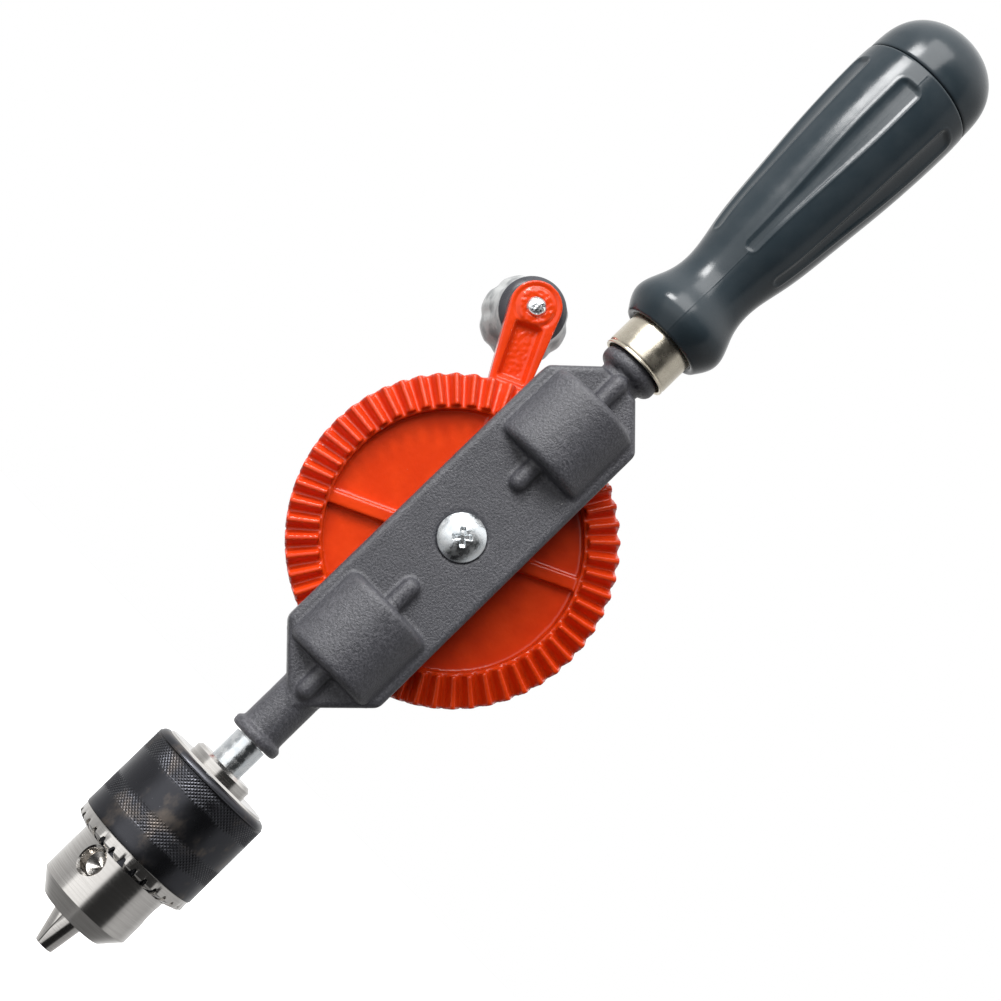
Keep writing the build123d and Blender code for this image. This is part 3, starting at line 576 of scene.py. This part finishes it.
def knurled_shell(radius, rear, split, columns):
    """The sleeve's outside, from the edge of its toothed ring at `split` to its rear edge."""
    front = [(15.2, split), (16.7, split), (radius - 0.15, split + 0.05), (radius, split + 0.25)]
    rows = [circle_row(r, z, columns) for r, z in front]
    steps = [None] * len(rows)               # each row's step across a knurled band, if in one
    last = 11
    first_band, second_band = (
        [(start + 0.5 * i, i) for i in range(last + 1)] for start in (35.7, 48.6)
    )
    marks = [(32.5, None), (34.9, None), *first_band, (42.4, None), (47.6, None), *second_band]
    for z, step in [*marks, (54.35, None)]:
        row = []
        for j, (x, y, _) in enumerate(circle_row(1.0, z, columns)):
            if step in (None, 0, last):
                r = radius - 0.02
            elif (j + step) % 2 == 0:
                r = radius
            else:
                wear = 0.8 + 0.2 * perlin(Vector((x * 4, y * 4, z / 2)))
                r = radius - 0.17 * wear * (0.55 if step in (1, last - 1) else 1.0)
            row.append((r * x, r * y, z))
        rows.append(row)
        steps.append(step)
    rear_edge = [
        (radius, rear - 2.0), (radius - 0.12, rear - 1.35), (radius - 0.42, rear - 0.75),
        (radius - 0.85, rear - 0.3), (radius - 1.35, rear - 0.06), (radius - 1.75, rear),
        (15.2, rear), (15.1, rear - 0.3), (15.1, rear - 3),
    ]
    rows += [circle_row(r, z, columns) for r, z in rear_edge]
    steps += [None] * len(rear_edge)

    # In the bands each square is split along the diagonal that joins its two low corners.
    faces, smooth = [], []
    for i in range(len(rows) - 1):
        knurled = steps[i] is not None and steps[i + 1] is not None
        for j in range(columns):
            k = (j + 1) % columns
            here, above = i * columns, (i + 1) * columns
            a, b, c, d = here + j, here + k, above + k, above + j
            if not knurled:
                faces.append((a, b, c, d))
            elif (j + steps[i]) % 2 == 0:
                faces += [(a, b, d), (b, c, d)]
            else:
                faces += [(a, b, c), (a, c, d)]
            smooth += [not knurled] * (2 if knurled else 1)
    return piece_from("sleeve_shell", rows, faces, smooth, "black_oxide", BODY_OF["chuck_sleeve"])


def key_ring(split):
    """The sleeve's bright toothed ring: the CAD sleeve cut off at `split`, with soft edges."""
    ring = copied("chuck_sleeve", "key_ring", "ground_steel")
    work = bmesh.new()
    work.from_mesh(ring.data)
    bmesh.ops.bisect_plane(
        work, geom=work.verts[:] + work.edges[:] + work.faces[:], dist=1e-6,
        plane_co=(0, 0, split * MM), plane_no=(0, 0, 1), clear_outer=True,
    )
    bmesh.ops.holes_fill(work, edges=[edge for edge in work.edges if edge.is_boundary])
    # the bore is widened, to leave room for the dark sheet inside the teeth, which paints the shade
    # in the gaps between them
    bore, opened, shade_sheet_z = 13.4 * MM, 14.3 * MM, 26.88 * MM
    for vert in work.verts:
        reach = math.hypot(vert.co.x, vert.co.y)
        if reach < bore:
            vert.co.x *= opened / reach
            vert.co.y *= opened / reach
            vert.co.z = max(vert.co.z, shade_sheet_z)
    work.to_mesh(ring.data)
    work.free()
    bevel = ring.modifiers.new("bevel", "BEVEL")
    bevel.width, bevel.segments = 0.12 * MM, 2
    bevel.limit_method, bevel.angle_limit = "ANGLE", math.radians(35)
    bake(ring)
    return ring


def sleeve_pieces():
    """The chuck's sleeve, with two bands of diamond knurling, its bright toothed ring, and a black
    sheet under the teeth that paints the shade in their gaps.
    """
    high = in_mm(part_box("chuck_sleeve"))[1]
    split, columns = 30.75, 192
    shell = knurled_shell(high.x, high.z, split, columns)
    ring = key_ring(split)
    # a thin black sheet under the teeth: painted shade, which shows dark through the gaps between
    # them
    shade_sheet_profile = [
        (13.06, 26.7), (13.4, 26.7), (13.4, 29.35), (16.2, 29.35), (16.2, 29.7), (13.06, 29.7),
    ]
    shade_sheet = turned("ring_painted_shade", shade_sheet_profile, "black_oxide", BODY_OF["chuck_sleeve"], columns, 0.08)
    return shell, ring, shade_sheet


def handle_piece():
    """The handle: a swelling grip with six flutes, two moulding lines and a rolled lip."""
    top = in_mm(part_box("handle"))[1].z
    swell = curve_through([
        (11.35, 207.95), (14.0, 213.2), (11.75, 221.2), (10.6, 229.2), (12.35, 240.0),
        (14.15, 255.0), (15.7, 272.0), (16.7, 292.0), (16.72, 296.5), (16.58, top - 0.35),
    ], 236)
    foot = [
        (8.5, 199.6), (8.5, 208.6), (9.45, 208.9), (9.7, 208.3), (10.2, 207.85), (10.8, 207.75),
    ]
    mouth = [
        (16.45, top - 0.12), (16.2, top), (11.05, top), (11.0, top - 0.3), (11.0, 289.0),
        (10.0, 289.0), (10.0, 243.2),
    ]
    flute_start, flute_end = 236.6, 295.4
    flute_spacing, flute_turn = 60.0, 261.0              # in degrees, as are the seams
    seams = 263.4, 83.4
    skin = 10.3                                          # points nearer the axis are inside
    columns = 384
    rows = []
    for radius, z in foot + swell + mouth:
        row = []
        half = 1.95 + 1.7 * float(rise(z, 240.0, 285.0))     # of a flute's width
        depth = 0.30 + 0.55 * float(rise(z, 238.0, 268.0))
        corner = min(2.3, half)
        beyond = max(z - flute_end + corner, flute_start + corner - z, 0)
        for j in range(columns):
            angle = TAU * j / columns
            turn = math.degrees(angle)
            r = radius
            if 221.0 < z < 297.0 and radius > skin:
                off = (turn - flute_turn + flute_spacing / 2) % flute_spacing - flute_spacing / 2
                side = abs(math.radians(off)) * radius
                inside = corner - math.hypot(max(side - half + corner, 0), beyond)
                r -= depth * max(1 - (side / half) ** 2, 0) * float(rise(inside, -0.05, 1.3))
                r += 0.10 * math.exp(-(inside / 0.36) ** 2)      # the ridge round a flute
            from_seam = min(abs((turn - seam + 180) % 360 - 180) for seam in seams)
            if from_seam < 0.5 and radius > skin and 208 < z < 299.5:
                r += 0.05
            row.append((r * math.cos(angle), r * math.sin(angle), z))
        rows.append(row)
    return grid_piece(
        "handle_grip", rows, "grip_plastic", BODY_OF["handle"], closed_ends=(True, True),
    )


def cap_piece():
    """The screw cap: a smooth dome over a hollow threaded spigot."""
    foot, top = 300.6, in_mm(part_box("handle_cap"))[1].z
    spigot, thread_depth = 10.9, 0.55
    dome = []
    for i in range(49):
        z = math.sin(math.pi / 2 * i / 48)
        dome.append((16.42 * math.sqrt(max(1 - z ** 3, 0.0)), foot + (top - foot) * z))
    profile = [(8.0, 290.0), (spigot, 290.0)]
    for i in range(17):
        profile.append((spigot - (0.0 if i % 2 else thread_depth), 290.8 + 0.55 * i))
    profile += [(10.85, 300.55), (16.1, foot), (16.34, foot + 0.16)] + dome[1:-1] + [(0.05, top)]
    inner = [(0.05, 316.0), (5.0, 315.0), (8.0, 311.0)]
    rows = [circle_row(r, z, 160) for r, z in profile + inner + profile[:1]]
    return grid_piece("cap_dome", rows, "grip_plastic", BODY_OF["handle_cap"])


def ferrule_piece():
    """The plated ferrule, with a thin rolled bead at its front."""
    low, high = in_mm(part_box("ferrule"))
    r, front, rear = high.x, low.z, high.z
    profile = [
        (8.5, front + 0.15), (8.9, front), (r - 0.05, front), (r, front + 0.5),
        (r - 0.28, front + 0.85), (r - 0.05, front + 1.2), (r, front + 1.5), (r, rear - 0.1),
        (r - 0.3, rear), (8.5, rear),
    ]
    return turned("ferrule_shell", profile, "nickel", BODY_OF["ferrule"], 160, 0.12)


PIECES = [
    (frame_piece(), "frame"), (wheel_piece(), "gear_wheel"), (rivet_piece(), None),
    (screw_piece(), "axle_screw"), (knob_piece(), "knob"), (collar_piece(), "knob_collar"),
    (handle_piece(), "handle"), (cap_piece(), "handle_cap"), (ferrule_piece(), "ferrule"),
]
PIECES += [(piece, "chuck_sleeve") for piece in sleeve_pieces()]
for piece, node in PIECES:
    if node:
        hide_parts(node)
    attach(piece, piece["rides"])
    del piece["rides"]


# ---------------------------------------------------------------- camera, light and floor
def make_camera():
    """The camera faces the drill's middle from in front, a little towards the chuck and -X."""
    target = Vector((0.00045, 0, 0.1513))
    place = Vector((-0.0240, -0.5023, 0.0815))
    axis_tilt = math.radians(44.3)           # of the spindle in the picture, above level
    data = bpy.data.cameras.new("camera")
    data.lens, data.sensor_width = 74.5, 36
    data.clip_start, data.clip_end = 0.01, 50
    camera = bpy.data.objects.new("camera", data)
    bpy.context.scene.collection.objects.link(camera)
    forward = (target - place).normalized()
    spindle = (Vector((0, 0, 1)) - forward * forward.z).normalized()
    side = forward.cross(spindle)
    right = spindle * math.cos(axis_tilt) + side * math.sin(axis_tilt)
    up = spindle * math.sin(axis_tilt) - side * math.cos(axis_tilt)
    turn = Matrix((right, up, -forward)).transposed()
    camera.matrix_world = Matrix.Translation(place) @ turn.to_4x4()
    bpy.context.scene.camera = camera


def make_area_light(name, place, size, power):
    """A soft square light at a place, turned to the drill's middle."""
    data = bpy.data.lights.new(name, "AREA")
    data.shape, data.size, data.size_y = "RECTANGLE", size, size
    data.energy = power
    light = bpy.data.objects.new(name, data)
    bpy.context.scene.collection.objects.link(light)
    light.location = place
    light.rotation_mode = "QUATERNION"
    aim = Vector((0, 0, 0.15)) - Vector(place)
    light.rotation_quaternion = aim.to_track_quat("-Z", "Y")


# The walls' brightness, halved to fit a colour ramp, by the angle in degrees from -Y towards -X.
WALLS = [
    (-120, 0.24), (-78, 0.27), (-66, 0.24), (-58, 0.02), (-10, 0.015), (2, 0.03), (9, 0.60),
    (46, 0.66), (55, 0.70), (62, 0.30), (78, 0.24), (110, 0.32), (150, 0.46),
]
WALL_BEHIND = 0.5                           # halved too


def make_world():
    """A studio whose walls differ in brightness by direction, under a bright ceiling.

    The camera sees white. Diffuse rays towards +X are dimmed, which darkens the drill's +X side.
    """
    world = bpy.data.worlds.new("studio")
    world.use_nodes = True
    tree = world.node_tree
    background = tree.nodes["Background"]

    def node(kind, *inputs, **settings):
        made = tree.nodes.new(kind)
        for key, value in settings.items():
            setattr(made, key, value)
        for index, value in enumerate(inputs):
            if isinstance(value, bpy.types.NodeSocket):
                tree.links.new(value, made.inputs[index])
            elif value is not None:
                made.inputs[index].default_value = value
        return made

    direction = node("ShaderNodeSeparateXYZ", node("ShaderNodeTexCoord").outputs["Generated"])
    x, y, z = direction.outputs
    left = node("ShaderNodeMath", x, -1.0, operation="MULTIPLY").outputs[0]
    front = node("ShaderNodeMath", y, -1.0, operation="MULTIPLY").outputs[0]
    round_z = node("ShaderNodeMath", left, front, operation="ARCTAN2").outputs[0]
    share = node("ShaderNodeMath", round_z, 1 / TAU, 0.5, operation="MULTIPLY_ADD").outputs[0]
    ramp = node("ShaderNodeValToRGB", share)
    stops = ramp.color_ramp.elements
    for stop, position in ((stops[0], 0.0), (stops[1], 1.0)):
        stop.position, stop.color = position, (WALL_BEHIND, WALL_BEHIND, WALL_BEHIND, 1)
    for degrees, level in WALLS:
        stop = stops.new(degrees / 360 + 0.5)
        stop.color = (level, level, level, 1)
    walls = node("ShaderNodeMath", ramp.outputs["Color"], 2.0, operation="MULTIPLY").outputs[0]

    def eased(value, low, high, out_low, out_high):
        """Maps low..high of a value to out_low..out_high, smoothly."""
        inputs = value, low, high, out_low, out_high
        return node("ShaderNodeMapRange", *inputs, interpolation_type="SMOOTHSTEP").outputs[0]

    def blend(factor, a, b):
        return node("ShaderNodeMix", factor, None, a, b, data_type="FLOAT").outputs[0]

    ceiling, ceiling_level = eased(z, 0.45, 0.85, 0.0, 1.0), 1.3
    towards_floor = eased(z, -0.75, -0.25, 0.35, 1.0)
    walls = node("ShaderNodeMath", walls, towards_floor, operation="MULTIPLY").outputs[0]
    seen = blend(ceiling, walls, ceiling_level)
    path = node("ShaderNodeLightPath")
    dimmed = blend(path.outputs["Is Diffuse Ray"], 1.0, eased(left, -0.55, 0.05, 0.6, 1.0))
    seen = node("ShaderNodeMath", seen, dimmed, operation="MULTIPLY").outputs[0]
    strength = blend(path.outputs["Is Camera Ray"], seen, 1.0)
    background.inputs["Color"].default_value = (1, 1, 1, 1)
    tree.links.new(strength, background.inputs["Strength"])
    bpy.context.scene.world = world


def make_floor():
    """A white floor that glows a little and is left out of reflections and of bounced light."""
    half, level = 3.0, -0.002
    corners = [(x, y, level) for x, y in ((-half, -half), (half, -half), (half, half), (-half, half))]
    mesh = bpy.data.meshes.new("floor")
    mesh.from_pydata(corners, [], [(0, 1, 2, 3)])
    floor = bpy.data.objects.new("floor", mesh)
    bpy.context.scene.collection.objects.link(floor)
    s = Shader(
        "floor_paint", (0.93, 0.93, 0.93), roughness=0.7,
        Emission_Color=(1, 1, 1, 1), Emission_Strength=0.8,
    )
    mesh.materials.append(s.material)
    floor.visible_glossy = False
    floor.visible_diffuse = False


make_camera()
make_world()
make_floor()
make_area_light("key", (-0.98, -0.66, 0.77), 0.36, 10)
make_area_light("fill", (-0.50, -0.93, 1.00), 0.9, 12)
bpy.context.scene.view_settings.view_transform = "Standard"
